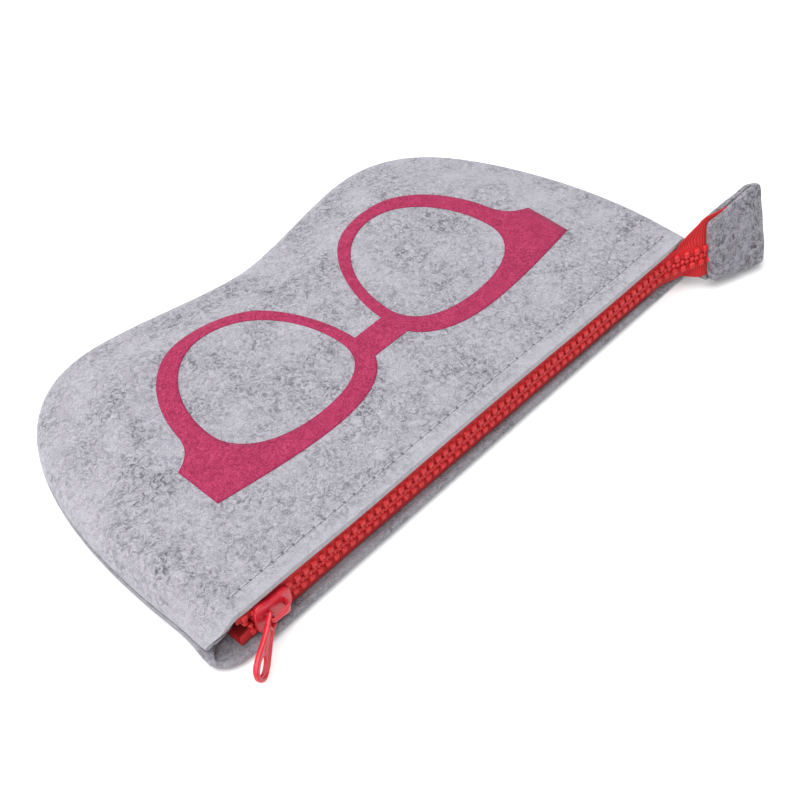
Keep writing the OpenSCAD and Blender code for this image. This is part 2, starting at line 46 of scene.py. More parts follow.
# ---- Camera, table and light ----
# The pouch lies on a plain pale table under a large soft lamp and an even bright sky, seen
# from in front of the slider's end and well above.

camera_data = bpy.data.cameras.new("view")
camera_data.lens = 63.0
camera_data.sensor_width = 36.0
camera_data.clip_start = 0.01
camera = bpy.data.objects.new("view", camera_data)
camera.location = (-0.1994, -0.2030, 0.2929)
camera.rotation_euler = Vector((0.49416, 0.45545, -0.74052)).to_track_quat("-Z", "Y").to_euler()
scene.collection.objects.link(camera)
scene.camera = camera


def link_mesh(name, points_mm, faces, smooth=True):
    """A mesh object of that name from points in millimetres, its place in its mesh."""
    mesh = bpy.data.meshes.new(name)
    mesh.from_pydata((np.asarray(points_mm, float) * 0.001).tolist(), [], [tuple(f) for f in faces])
    mesh.polygons.foreach_set("use_smooth", np.full(len(mesh.polygons), smooth))
    mesh.update()
    piece = bpy.data.objects.new(name, mesh)
    scene.collection.objects.link(piece)
    return piece


def new_material(name, sockets):
    """A node material of that name and its shader, with uniform values on the shader's sockets."""
    material = bpy.data.materials.new(name)
    material.use_nodes = True
    shader = material.node_tree.nodes["Principled BSDF"]
    for socket, value in sockets.items():
        shader.inputs[socket].default_value = value
    return material, shader


table = link_mesh("table", [(-3000, -3000, 0), (3000, -3000, 0), (3000, 3000, 0), (-3000, 3000, 0)],
                  [(0, 1, 2, 3)], smooth=False)
table_paint = {"Base Color": (0.93, 0.93, 0.93, 1), "Roughness": 0.7}
table.data.materials.append(new_material("pale_table", table_paint)[0])

sky = bpy.data.worlds.new("soft_sky")
sky.use_nodes = True
sky_light = sky.node_tree.nodes["Background"].inputs
sky_light["Color"].default_value = (1.0, 1.0, 1.0, 1)
sky_light["Strength"].default_value = 0.60
scene.world = sky
scene.view_settings.view_transform = "Standard"

for name, place, size, power in [("key_lamp", (-0.30, 0.16, 1.0), 1.4, 20.0),
                                 ("side_lamp", (-0.9, -0.35, 0.55), 0.5, 1.9)]:
    lamp_data = bpy.data.lights.new(name, "AREA")
    lamp_data.size = size
    lamp_data.energy = power
    lamp = bpy.data.objects.new(name, lamp_data)
    lamp.location = place
    lamp.rotation_euler = (Vector((0, 0, 0)) - Vector(place)).to_track_quat("-Z", "Y").to_euler()
    scene.collection.objects.link(lamp)

# ---- Front panel ----
# The upper sheet of marled wool felt, 2 mm thick, cut as a rectangle with two lobes. Its edge
# is turned under and seamed to the back panel, so that it rolls over the filling like a
# cushion, and its mouth side is left as a raw cut edge, pulled down by one row of stitches.

pouch_l, pouch_d, pouch_h, felt_t = 194.0, 101.0, 15.0, 2.0
mouth_y = -50.0
waist_dip, lobe_x, lobe_lean, side_bow = 8.0, 52.5, 3.7, 3.5
seam_z, roll_r, lobe_h, crown_reach, allowance = 4.2, 7.3, 10.5, 24.0, 6.0
felt_gap, seam_fold, seam_drop, fold_round = 0.05, 0.8, 0.9, 0.5
stitch_in, stitch_pitch, stitch_count = 5.0, 3.6, 49
stitch_y = mouth_y + stitch_in


def bezier(p, t):
    """Points of the cubic Bezier curve with control points p at the values t."""
    t = np.asarray(t, float)[:, None]
    p = np.asarray(p, float)
    return (1 - t) ** 3 * p[0] + 3 * (1 - t) ** 2 * t * p[1] \
        + 3 * (1 - t) * t * t * p[2] + t ** 3 * p[3]


def smooth(f):
    """3 f^2 - 2 f^3 of f held between 0 and 1: a step with flat ends."""
    f = np.clip(f, 0, 1)
    return f * f * (3 - 2 * f)


def along(path, lengths):
    """Points of a dense path at the given distances from its start."""
    run = np.concatenate([[0], np.cumsum(np.linalg.norm(np.diff(path, axis=0), axis=1))])
    return np.stack([np.interp(lengths, run, path[:, k]) for k in range(path.shape[1])], axis=1)


def path_length(path):
    """Length of a path of points."""
    return np.linalg.norm(np.diff(path, axis=0), axis=1).sum()


def panel_edge():
    """The panels' outline from the right mouth corner over both lobes to the left corner:
    one Bezier curve up each side to the lobe's peak, one down to the dip between them, and
    both leaning towards the slider's end."""
    t = np.linspace(0, 1, 200)
    peak = np.array([lobe_x, mouth_y + pouch_d])
    waist = np.array([0, mouth_y + pouch_d - waist_dip])
    side = bezier([[pouch_l / 2, mouth_y], [pouch_l / 2 + side_bow, mouth_y + 0.53 * pouch_d],
                   peak + [37, 0], peak], t)
    dip = bezier([peak, peak - [15, 0], waist + [14, 0], waist], t)
    right = np.vstack([side, dip[1:]])
    whole = np.vstack([right, (right * [-1, 1])[-2::-1]])
    whole[:, 0] -= lobe_lean * (whole[:, 1] - mouth_y) / pouch_d
    return whole


def inward_of(path, closed=False):
    """Unit normals of an anticlockwise path, pointing inside."""
    step = (np.roll(path, -1, 0) - np.roll(path, 1, 0)) if closed else np.gradient(path, axis=0)
    step /= np.linalg.norm(step, axis=1)[:, None]
    return np.stack([-step[:, 1], step[:, 0]], axis=1)


edge = panel_edge()
edge_l = path_length(edge)
near_mouth = np.arange(0, 8, 0.45)
stations = np.concatenate([near_mouth, np.linspace(8, edge_l - 8, 230), edge_l - near_mouth[::-1]])
rim = along(edge, stations)
rim_in = inward_of(rim)
rim_in[0], rim_in[-1] = (-1, 0), (1, 0)


def edge_height(y):
    """Height of the rolled edge: full along the mouth, easing down to the lobes."""
    return pouch_h + (lobe_h - pouch_h) * smooth((y - mouth_y - 13) / (0.7 * pouch_d))


def unevenness(x, y):
    """Soft hills and hollows of a stuffed felt face: a few long crossed waves, under half a
    millimetre, and a slight wave of the mouth edge."""
    hills = 0.16 * np.sin(x / 19 + y / 31 + 0.6) * np.cos(y / 14 - x / 47) \
        + 0.10 * np.sin(x / 9.3 - y / 12.1)
    mouth = 0.22 * np.sin(x / 13.0 + 1.1) * np.exp(-(y - mouth_y) / 7)
    return hills + mouth


def stitch_groove(x, y):
    """Depth of the furrow that the stitches pull into the felt: a bell across the row, deeper
    at each needle hole, and the free margin beyond it eases down to its cut edge."""
    pull = np.exp(-((y - stitch_y) / 1.1) ** 2) * (0.5 - 0.14 * np.cos(2 * np.pi * x / stitch_pitch))
    margin = 0.35 * smooth((stitch_y - y) / stitch_in)
    return (pull + margin) * smooth((pouch_l / 2 - 5 - np.abs(x)) / 6)


def face_height(x, y):
    """Height of the front panel's face inside its rolled edge: from the height of the nearest
    edge it rises smoothly to full height over crown_reach, with its unevenness."""
    x, y = np.asarray(x, float), np.asarray(y, float)
    gap = np.sqrt((x[..., None] - rim[:, 0]) ** 2 + (y[..., None] - rim[:, 1]) ** 2)
    nearest = gap.argmin(-1)
    f = (gap.min(-1) - roll_r) / (crown_reach - roll_r)
    low = edge_height(rim[nearest, 1])
    crown = low + (pouch_h - low) * smooth(f)
    return crown + unevenness(x, y) * np.clip(f, 0, 1) - stitch_groove(x, y)


def panel_grid(thickness):
    """Points of the panel's outside (thickness 0) or inside: columns run from the turned-in
    allowance over the rolled edge to the middle of the mouth, one for each station of the rim.
    The allowance is rounded off at both ends, and the slider end's corner gives way a little."""
    high = edge_height(rim[:, 1])[:, None]
    base = seam_z + seam_drop if thickness == 0 else seam_z + felt_t + fold_round
    turn = np.radians(np.linspace(0, 90, 15))
    from_end = np.minimum(stations, edge_l - stations)[:, None]
    round_off = np.sqrt(1 - (1 - np.clip(from_end / 4, 0, 1)) ** 2)
    flap_l = allowance * (1 + 0.35 * np.exp(-from_end / 9)) * (0.35 + 0.65 * round_off)
    flap_d = np.concatenate([1.2 + (flap_l - 1.2) * np.linspace(1, 0, 6),
                             np.full_like(flap_l, seam_fold), np.full_like(flap_l, 0.25)], axis=1)
    flap_d = flap_d + 0.8 * thickness
    flap_z = seam_z + thickness + np.array([0.5, 0.75, 0.8, 0.6, 0.25, 0, 0, 0.3])
    roll_d = roll_r - (roll_r - thickness) * np.cos(turn)
    roll_z = base + (high - thickness - base) * np.sin(turn)
    ring_d = np.linspace(roll_r, crown_reach, 15)[1:]
    over = np.concatenate([roll_d, ring_d])
    d = np.concatenate([flap_d, np.broadcast_to(over, (len(rim), len(over)))], axis=1)
    xy = rim[:, None, :] + rim_in[:, None, :] * d[:, :, None]
    crown = xy[:, -len(ring_d):]
    z = np.concatenate([np.broadcast_to(flap_z, (len(rim), len(flap_z))), roll_z,
                        face_height(crown[..., 0], crown[..., 1]) - thickness], axis=1)
    low_corner = np.exp(-(np.hypot(xy[..., 0] + pouch_l / 2, xy[..., 1] - mouth_y) / 8) ** 2) \
        * smooth((pouch_h - 2 - z) / 8)
    xy = xy + low_corner[..., None] * [-1.2, 3.4]
    shell = np.concatenate([xy, z[:, :, None]], axis=2)
    last = shell[:, -1, :2]
    share = np.linspace(1, -1, len(rim))[:, None]
    target = np.concatenate([share * pouch_l / 4, np.full_like(share, mouth_y)], axis=1)
    reach = np.concatenate([np.linspace(0, 0.9, 30)[1:], 1 - np.linspace(0.092, 0, 24)])[:, None]
    core = last[:, None, :] + (target - last)[:, None, :] * reach[None]
    core_z = face_height(core[..., 0], core[..., 1]) - thickness
    return np.concatenate([shell, np.concatenate([core, core_z[..., None]], axis=2)], axis=1)


def sheet_faces(n, m, closed=False):
    """Faces of a grid of n columns of m points, closed where its last column meets its first."""
    column = np.arange(n if closed else n - 1)[:, None]
    a, b = (start % n * m + np.arange(m - 1)[None, :] for start in (column, column + 1))
    return np.stack([a, b, b + 1, a + 1], axis=-1).reshape(-1, 4)


def double_sheet(outside, inside, closed=False):
    """Points and faces of a sheet between two grids of points: both faces and the strips
    round the rim, with each grid's columns along its first axis."""
    n, m = outside.shape[:2]
    points = np.concatenate([outside.reshape(-1, 3), inside.reshape(-1, 3)])
    quads = sheet_faces(n, m, closed)
    faces = [quads, quads[:, ::-1] + n * m]
    first = np.arange(n if closed else n - 1) * m
    after = (first + m) % (n * m)
    rims = [(first, after), (after + m - 1, first + m - 1)]
    if not closed:
        row = np.arange(m - 1)
        rims += [(row + 1, row), (row + (n - 1) * m, row + (n - 1) * m + 1)]
    faces += [np.stack([p, p + n * m, q + n * m, q], axis=1) for p, q in rims]
    return points, np.concatenate(faces)


def close_up(piece, material, recalculate=True):
    """Merges doubled points, turns every face outwards, unless the piece's already are, and
    gives the piece its material."""
    work = bmesh.new()
    work.from_mesh(piece.data)
    bmesh.ops.remove_doubles(work, verts=work.verts, dist=1e-6)
    bmesh.ops.dissolve_degenerate(work, edges=work.edges, dist=1e-7)
    if recalculate:
        bmesh.ops.recalc_face_normals(work, faces=work.faces)
    work.to_mesh(piece.data)
    work.free()
    piece.data.materials.append(material)


def soften_edges(piece, width_mm):
    """Rounds the piece's sharp edges, those of over 40 degrees, with a bevel."""
    bevel = piece.modifiers.new("soft_edges", "BEVEL")
    bevel.width = width_mm * 0.001
    bevel.segments = 3
    bevel.limit_method = "ANGLE"
    bevel.angle_limit = np.radians(40)


def node(material, kind, **values):
    """A node of the material with its settings, and its unlinked sockets by name."""
    made = material.node_tree.nodes.new(kind)
    for key, value in values.items():
        if key in made.inputs:
            made.inputs[key].default_value = value
        else:
            setattr(made, key, value)
    return made


def map_range(material, low, high, to_low, to_high, **settings):
    """A node that carries the range from low to high over to the range to_low to to_high."""
    return node(material, "ShaderNodeMapRange", **settings,
                **{"From Min": low, "From Max": high, "To Min": to_low, "To Max": to_high})


def math_node(material, operation, second=None):
    """A Math node, with its second number where that isn't linked."""
    made = node(material, "ShaderNodeMath", operation=operation)
    if second is not None:
        made.inputs[1].default_value = second
    return made


def wire(material, *pairs):
    """Links pairs of (output socket, input socket)."""
    for source, target in pairs:
        material.node_tree.links.new(source, target)


def texture(material, kind, place, **values):
    """The value of a Noise or Wave texture that is laid out by the socket place."""
    made = node(material, "ShaderNodeTex" + kind, **values)
    wire(material, (place, made.inputs["Vector"]))
    return made.outputs["Fac"]


def bump(material, strength, distance):
    """A Bump node of that strength over that distance in metres."""
    return node(material, "ShaderNodeBump", Strength=strength, Distance=distance)


def mix_colours(material, a=None, b=None, **settings):
    """A Mix node for colours, with each of its two colours that isn't linked."""
    made = node(material, "ShaderNodeMix", data_type="RGBA", **settings)
    for socket, colour in (("A", a), ("B", b)):
        if colour is not None:
            made.inputs[socket].default_value = (*colour, 1)
    return made


def colour_ramp(material, *stops):
    """A colour ramp node with stops from (position, grey or colour) pairs."""
    ramp = node(material, "ShaderNodeValToRGB")
    elements = ramp.color_ramp.elements
    while len(elements) > 1:
        elements.remove(elements[-1])
    for k, (place, colour) in enumerate(stops):
        stop = elements[0] if k == 0 else elements.new(place)
        stop.position = place
        stop.color = (*(colour if isinstance(colour, tuple) else (colour,) * 3), 1)
    return ramp


def drive(material, shader, pattern, tone, relief):
    """Lets the socket pattern drive the shader's colour through the ramp tone, and its relief."""
    wire(material, (pattern, tone.inputs["Fac"]), (pattern, relief.inputs["Height"]),
         (tone.outputs["Color"], shader.inputs["Base Color"]),
         (relief.outputs["Normal"], shader.inputs["Normal"]))


def marled_felt(name, light=(0.336, 0.326, 0.367), dark=(0.066, 0.064, 0.076), mottle=(0.2, 1.3)):
    """Wool felt: pale fibres with darker ones worked in as short curled flecks, thicker in some
    clouds than in others by mottle, with a matted surface and a soft sheen. Also the node of
    its colour, the socket of its coordinates and its shader."""
    felt, shader = new_material(name, {
        "Roughness": 0.95, "Specular IOR Level": 0.15, "Sheen Weight": 0.35, "Sheen Roughness": 0.55,
        "Sheen Tint": (0.9, 0.88, 0.95, 1)})
    place = node(felt, "ShaderNodeTexCoord").outputs["Object"]
    curls = texture(felt, "Noise", place, Scale=620.0, Detail=6.0, Roughness=0.72, Distortion=1.1)
    flecks = colour_ramp(felt, (0.36, 0.95), (0.46, 0.5), (0.54, 0.18), (0.64, 0.0))
    clouds = texture(felt, "Noise", place, Scale=70.0, Detail=3.5, Roughness=0.62)
    cloud_mix = map_range(felt, 0.3, 0.7, *mottle)
    amount = math_node(felt, "MULTIPLY")
    blend = mix_colours(felt, light, dark)
    fibres = texture(felt, "Noise", place, Scale=1900.0, Detail=3.0, Roughness=0.75, Distortion=2.0)
    fibre_tone = map_range(felt, 0.3, 0.7, 0.52, 1.46)
    toned = mix_colours(felt, blend_type="MULTIPLY")
    toned.inputs["Factor"].default_value = 1.0
    matting, nap = bump(felt, 0.55, 0.0005), bump(felt, 0.45, 0.00025)
    wire(felt, (curls, flecks.inputs["Fac"]), (clouds, cloud_mix.inputs["Value"]),
         (flecks.outputs["Color"], amount.inputs[0]), (cloud_mix.outputs["Result"], amount.inputs[1]),
         (amount.outputs[0], blend.inputs["Factor"]), (blend.outputs["Result"], toned.inputs["A"]),
         (fibres, fibre_tone.inputs["Value"]), (fibre_tone.outputs["Result"], toned.inputs["B"]),
         (toned.outputs["Result"], shader.inputs["Base Color"]),
         (curls, matting.inputs["Height"]), (fibres, nap.inputs["Height"]),
         (matting.outputs["Normal"], nap.inputs["Normal"]),
         (nap.outputs["Normal"], shader.inputs["Normal"]))
    return felt, toned, place, shader


def stitched_felt():
    """The front panel's felt, paler towards its cut edge along the mouth, with painted shade in the
    needle
    holes: dark spots round points one stitch apart on the stitching's line."""
    felt, toned, place, shader = marled_felt("marled_felt_front")
    parts = node(felt, "ShaderNodeSeparateXYZ")
    raw = map_range(felt, (mouth_y + 0.1) * 0.001, (mouth_y + 5.5) * 0.001, 0.55, 0.0,
                    interpolation_type="SMOOTHSTEP")
    paler = mix_colours(felt, b=(0.362, 0.358, 0.384))
    half_pitch = stitch_pitch * 0.0005
    shifted, cell = math_node(felt, "ADD", half_pitch), math_node(felt, "PINGPONG", half_pitch)
    off_row = math_node(felt, "SUBTRACT", stitch_y * 0.001)
    flat = node(felt, "ShaderNodeCombineXYZ")
    reach = node(felt, "ShaderNodeVectorMath", operation="LENGTH")
    # Painted shade in the needle holes: near-black spots one stitch apart along the stitching's line.
    hole = map_range(felt, 0.0002, 0.00065, 0.8, 0.0, interpolation_type="SMOOTHSTEP")
    side = math_node(felt, "ABSOLUTE")
    in_row = math_node(felt, "LESS_THAN", half_pitch * (stitch_count + 1))
    kept = math_node(felt, "MULTIPLY")
    hole_shade = mix_colours(felt, b=(0.06, 0.06, 0.07))
    wire(felt, (place, parts.inputs[0]), (parts.outputs["Y"], raw.inputs["Value"]),
         (raw.outputs["Result"], paler.inputs["Factor"]),
         (toned.outputs["Result"], paler.inputs["A"]),
         (parts.outputs["X"], shifted.inputs[0]), (shifted.outputs[0], cell.inputs[0]),
         (parts.outputs["Y"], off_row.inputs[0]), (cell.outputs[0], flat.inputs["X"]),
         (off_row.outputs[0], flat.inputs["Y"]), (flat.outputs[0], reach.inputs[0]),
         (reach.outputs["Value"], hole.inputs["Value"]), (parts.outputs["X"], side.inputs[0]),
         (side.outputs[0], in_row.inputs[0]), (hole.outputs["Result"], kept.inputs[0]),
         (in_row.outputs[0], kept.inputs[1]), (kept.outputs[0], hole_shade.inputs["Factor"]),
         (paler.outputs["Result"], hole_shade.inputs["A"]),
         (hole_shade.outputs["Result"], shader.inputs["Base Color"]))
    return felt


front = link_mesh("felt_front", *double_sheet(panel_grid(0), panel_grid(felt_t)))
close_up(front, stitched_felt())
soften_edges(front, 0.45)
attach(front, "pouch")
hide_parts("front_panel")

# ---- Back panel ----
# The lower sheet of the same felt lies flat on the table, its turned-in edge seamed under the
# front panel's. Along the mouth it is folded up as a low lip that carries the zip, and the
# lip lies down flat where the zip's tail leaves over it.

lip_top, back_roll, margin_out, margin_lean = 3.0, 4.0, -53.5, 0.0085
tail_start, tail_flat, corner_r = 73.0, 81.0, 6.5


def lip_line(x):
    """Y of the lip's outer face, which stands a little further out at the slider's end."""
    return margin_out + margin_lean * x


def tray_edge():
    """The back panel's outline, back to its start: the rim, round both mouth corners, and the
    lip."""
    a = np.radians(np.linspace(0, 90, 30))
    left, right = (np.stack([end * (pouch_l / 2 - corner_r * (1 - np.cos(a))),
                             lip_line(end * pouch_l / 2) + corner_r * (1 - np.sin(a))], axis=1)
                   for end in (-1, 1))
    sides = edge[edge[:, 1] > lip_line(edge[:, 0]) + corner_r + 0.3]
    return np.vstack([sides, left, right[:0:-1], sides[:1]])


tray_loop = tray_edge()
tray = along(tray_loop, np.linspace(0, path_length(tray_loop), 421)[:-1])
tray_in = inward_of(tray, closed=True)


def tray_grid(thickness):
    """Points of the tray's outside (thickness 0) or inside: a turned-in allowance and a rolled
    wall along the sides, blended into the upright lip along the mouth, and the first ring of
    the floor. The corner at the slider's end flares out a little."""
    outside = thickness == 0
    turn = np.radians(np.linspace(0, 90, 12))
    roll_d = back_roll - (back_roll - thickness) * np.cos(turn)
    drop = 1 - np.sin(turn)
    top = seam_z - felt_gap - thickness
    side_d = np.concatenate([np.linspace(allowance, 1.2, 4), [seam_fold, 0.2], roll_d])
    side_z = np.concatenate([np.full(5, top), [top - 0.35],
                             thickness + (top - seam_drop) * drop * (1 if outside else 0.1)])
    flattened = smooth((tray[:, :1] - tail_start) / (tail_flat - tail_start))
    lip = lip_top + (felt_t + felt_gap - lip_top) * flattened
    crest_d = np.array([1.0, 11 / 12, 10 / 12, 0.75, 0.45, 0.12])
    lip_d = np.concatenate([crest_d if outside else felt_t - crest_d * 0.9, roll_d])
    crest_z = np.array([0.0, 0.0, 0.02, 0.08, 0.3, 0.65])
    wall_z = thickness + np.maximum(lip - seam_drop - thickness, 0.0) * drop[None, :]
    lip_z = np.maximum(np.concatenate([lip - crest_z[None, :], wall_z], axis=1), thickness)
    at_lip = smooth((lip_line(0) + 9.0 - tray[:, 1:]) / 7.0)
    d = side_d[None, :] * (1 - at_lip) + lip_d[None, :] * at_lip
    z = side_z[None, :] * (1 - at_lip) + lip_z * at_lip
    xy = tray[:, None, :] + tray_in[:, None, :] * d[:, :, None]
    flare = np.exp(-(np.hypot(xy[..., 0] + pouch_l / 2 - 2, xy[..., 1] - mouth_y) / 8) ** 2)
    return np.concatenate([xy + flare[..., None] * [-2.6, 0.6], z[:, :, None]], axis=2)


tray_out, tray_inside = tray_grid(0.0), tray_grid(felt_t)
back_points, back_faces = double_sheet(tray_out, tray_inside, closed=True)
columns, m = tray_out.shape[:2]
floor_ring = np.arange(columns) * m + m - 1
back_faces = [tuple(f) for f in back_faces[:-columns]]
back_faces += [tuple(floor_ring), tuple((floor_ring + columns * m)[::-1])]
back = link_mesh("felt_back", back_points, back_faces)
# Same felt as the front panel, in darker tones: painted shade for the lip's outer face, which faces
# away from the lamp under the zip.
back_felt = marled_felt("marled_felt_back_painted_shade", (0.26, 0.253, 0.281), (0.055, 0.053, 0.062))[0]
close_up(back, back_felt)
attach(back, "pouch")
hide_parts("back_panel")

# ---- Glasses motif ----
# A silhouette of a pair of glasses, cut from flocked transfer film and heat-pressed on the
# front panel, so that its edge is sunk a little and its face follows the felt.

motif_y, film_t, film_wall = 24.0, 0.2, 0.35
band_middle = np.array([33.0, 18.2])


def rim_band():
    """Outer and inner line of the right half of the frame, point by point: the outer one runs
    from the bridge round the rim, the end piece and the brow, and closes up the bridge's
    middle, and each point is paired with the lens outline's point in the same direction from
    band_middle."""
    curves = [([0, 19], [2, 19], [4, 19], [5.4, 19]),
              ([5.4, 19], [5.4, 31], [13.5, 55], [34.5, 55]),
              ([34.5, 55], [52, 55], [61, 41], [63, 27.5]),
              ([63, 27.5], [64, 23], [66.5, 20.5], [70.9, 18.7]),
              ([70.9, 18.7], [70.9, 14], [70.9, 9], [70.9, 3.6]),
              ([70.9, 3.6], [55, 1.2], [43, 0], [33, 0]),
              ([33, 0], [18, 0], [10, 4], [6.6, 10]),
              ([6.6, 10], [4, 10], [2, 10], [0, 10])]
    counts = [8, 60, 50, 14, 14, 40, 40, 8]
    outer = [bezier(c, np.linspace(0, 1, k)[:-1]) for c, k in zip(curves, counts)]
    outer = np.vstack([*outer, np.stack([np.zeros(9), np.linspace(10, 19, 9)], axis=1)])
    lens = [([9.3, 20.5], [9.3, 37], [20.5, 50.5], [34.3, 50.5]),
            ([34.3, 50.5], [46.7, 50.5], [56.8, 38], [56.8, 22.6]),
            ([56.8, 22.6], [56.8, 12.5], [46.5, 6.5], [31.8, 6.5]),
            ([31.8, 6.5], [17, 6.5], [9.3, 11.5], [9.3, 20.5])]
    inner = np.vstack([bezier(c, np.linspace(0, 1, 90)[:-1]) for c in lens])
    outer_way, inner_way = (np.arctan2(p[:, 0] - band_middle[0], band_middle[1] - p[:, 1])
                            for p in (outer, inner))
    paired = [np.interp(outer_way, inner_way, inner[:, k], period=2 * np.pi) for k in (0, 1)]
    return outer, np.stack(paired, axis=1)


def flock_velvet():
    """Flocked film: a dense short pile of deep pink, nearly matt, paler at grazing angles, with
    the felt's unevenness faintly showing through."""
    velvet, shader = new_material("pink_flock", {
        "Roughness": 0.8, "Specular IOR Level": 0.25, "Sheen Weight": 0.15, "Sheen Roughness": 0.4,
        "Sheen Tint": (1.0, 0.45, 0.6, 1)})
    place = node(velvet, "ShaderNodeTexCoord").outputs["Object"]
    pile = texture(velvet, "Noise", place, Scale=2600.0, Detail=2.0, Roughness=0.6)
    wear = texture(velvet, "Noise", place, Scale=420.0, Detail=4.0, Roughness=0.6, Distortion=1.2)
    tone = colour_ramp(velvet, (0.5, (0.149, 0.0054, 0.030)), (0.75, (0.278, 0.0162, 0.066)),
                       (1.0, (0.406, 0.047, 0.115)))
    speckle = math_node(velvet, "MULTIPLY_ADD", 0.5)
    soft, fine = bump(velvet, 0.15, 0.0003), bump(velvet, 0.5, 0.00012)
    wire(velvet, (wear, speckle.inputs[0]), (pile, speckle.inputs[2]),
         (speckle.outputs[0], tone.inputs["Fac"]),
         (tone.outputs["Color"], shader.inputs["Base Color"]),
         (wear, soft.inputs["Height"]), (pile, fine.inputs["Height"]),
         (soft.outputs["Normal"], fine.inputs["Normal"]),
         (fine.outputs["Normal"], shader.inputs["Normal"]))
    return velvet


band_outer, band_inner = rim_band()
across_band = np.linspace(0, 1, 9)
flat_band = band_outer[:, None] + (band_inner - band_outer)[:, None] * across_band[:, None]
band_n, band_m = flat_band.shape[:2]
band_faces = sheet_faces(band_n, band_m, closed=True)
halves = []
for side in (1, -1):
    x, y = side * flat_band[..., 0], mouth_y + motif_y + flat_band[..., 1]
    halves.append(np.stack([x, y, face_height(x, y) + film_t], axis=-1).reshape(-1, 3))
motif = link_mesh("flock_glasses", np.concatenate(halves),
                  np.concatenate([band_faces, band_faces[:, ::-1] + band_n * band_m]))
close_up(motif, flock_velvet())
film = motif.modifiers.new("film", "SOLIDIFY")
film.thickness = film_wall * 0.001
film.offset = -1.0
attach(motif, "pouch")
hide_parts("glasses_motif")

# ---- Zip tapes ----
# Two woven polyester tapes with the teeth moulded on their corded edges. One turns in under
# the front panel and the other down behind the lip and in over the back panel, and both run
# on past the mouth as the zip's free tail, into the felt tab.

tape_t, tape_w, cord_y, zip_tilt = 0.45, 13.0, 0.55, np.radians(8)
chain_w, tooth_t, tooth_pitch = 5.8, 2.5, 2.88
run_gap, wing_t, flange_t = 0.1, 0.9, 0.6
parted, parting_l, slider_x, throat_x = 1.0, 5.0, -80.0, -1.0
bend_x, tab_l, tab_lap = 80.0, 22.6, 5.0
tab_flat_l = tab_l - 1.5
roof_z = pouch_h - felt_t - felt_gap - tape_t / 2
floor_z = felt_t + felt_gap + tape_t / 2
shoulder_y = chain_w / 2 + parted + run_gap + flange_t
slider_top = (tooth_t / 2 + run_gap + wing_t) * np.sin(zip_tilt)
chain_z = roof_z - tape_t / 2 - 0.5 - shoulder_y * np.cos(zip_tilt) + slider_top
chain_y = mouth_y + 0.15
up = np.array([0, np.sin(zip_tilt), np.cos(zip_tilt)])


def unit(v):
    """Vectors of length 1."""
    return v / np.linalg.norm(v, axis=-1, keepdims=True)


tab_near, tab_far = np.array([98.2, -57.8, 11.4]), np.array([120.4, -62.4, 10.3])
tab_axis = unit(tab_far - tab_near)
near_up, far_up = unit(np.array([5, 5.7, 19])), unit(np.array([10.9, 10.4, 20.8]))
tab_open = tab_near - tab_lap * tab_axis
tail = bezier([[bend_x, chain_y, chain_z], [bend_x + 6.5, chain_y, chain_z],
               tab_open - 5 * tab_axis, tab_open], np.linspace(0, 1, 200))
tail_l = path_length(tail)
chain_start, chain_end = -(pouch_l / 2 - roll_r) + 0.6, bend_x + tail_l + tab_lap + tab_flat_l / 2


def chain_line(s):
    """The chain's middle at lengths s: straight along the mouth, a bend to the tab, and on."""
    s = np.asarray(s, float)
    r = s - bend_x
    straight = np.stack([s, np.full_like(s, chain_y), np.full_like(s, chain_z)], axis=-1)
    bent = along(tail, np.clip(r, 0, tail_l))
    held = tab_open + tab_axis * (r - tail_l)[..., None]
    return np.where((r <= 0)[..., None], straight, np.where((r >= tail_l)[..., None], held, bent))


def chain_frame(s):
    """Middle, direction, upward and outward vectors of the chain at lengths s: it leans back in
    the mouth, and twists to the tab's lean along the tail."""
    s = np.asarray(s, float)
    t = unit(chain_line(s + 0.7) - chain_line(s - 0.7))
    r = s - bend_x
    to_near = smooth(r / tail_l)[:, None]
    to_far = np.clip((r - tail_l - tab_lap) / tab_flat_l, 0, 1)[:, None]
    raw = up + (near_up - up) * to_near + (far_up - near_up) * to_far
    u = unit(raw - t * (raw * t).sum(-1, keepdims=True) * (1 - to_near))
    return chain_line(s), t, u, unit(np.cross(t, u))


def parting(s):
    """How far each row has left its closed place, behind the slider."""
    return parted / parting_l * np.maximum(0, slider_x + throat_x - np.asarray(s, float))


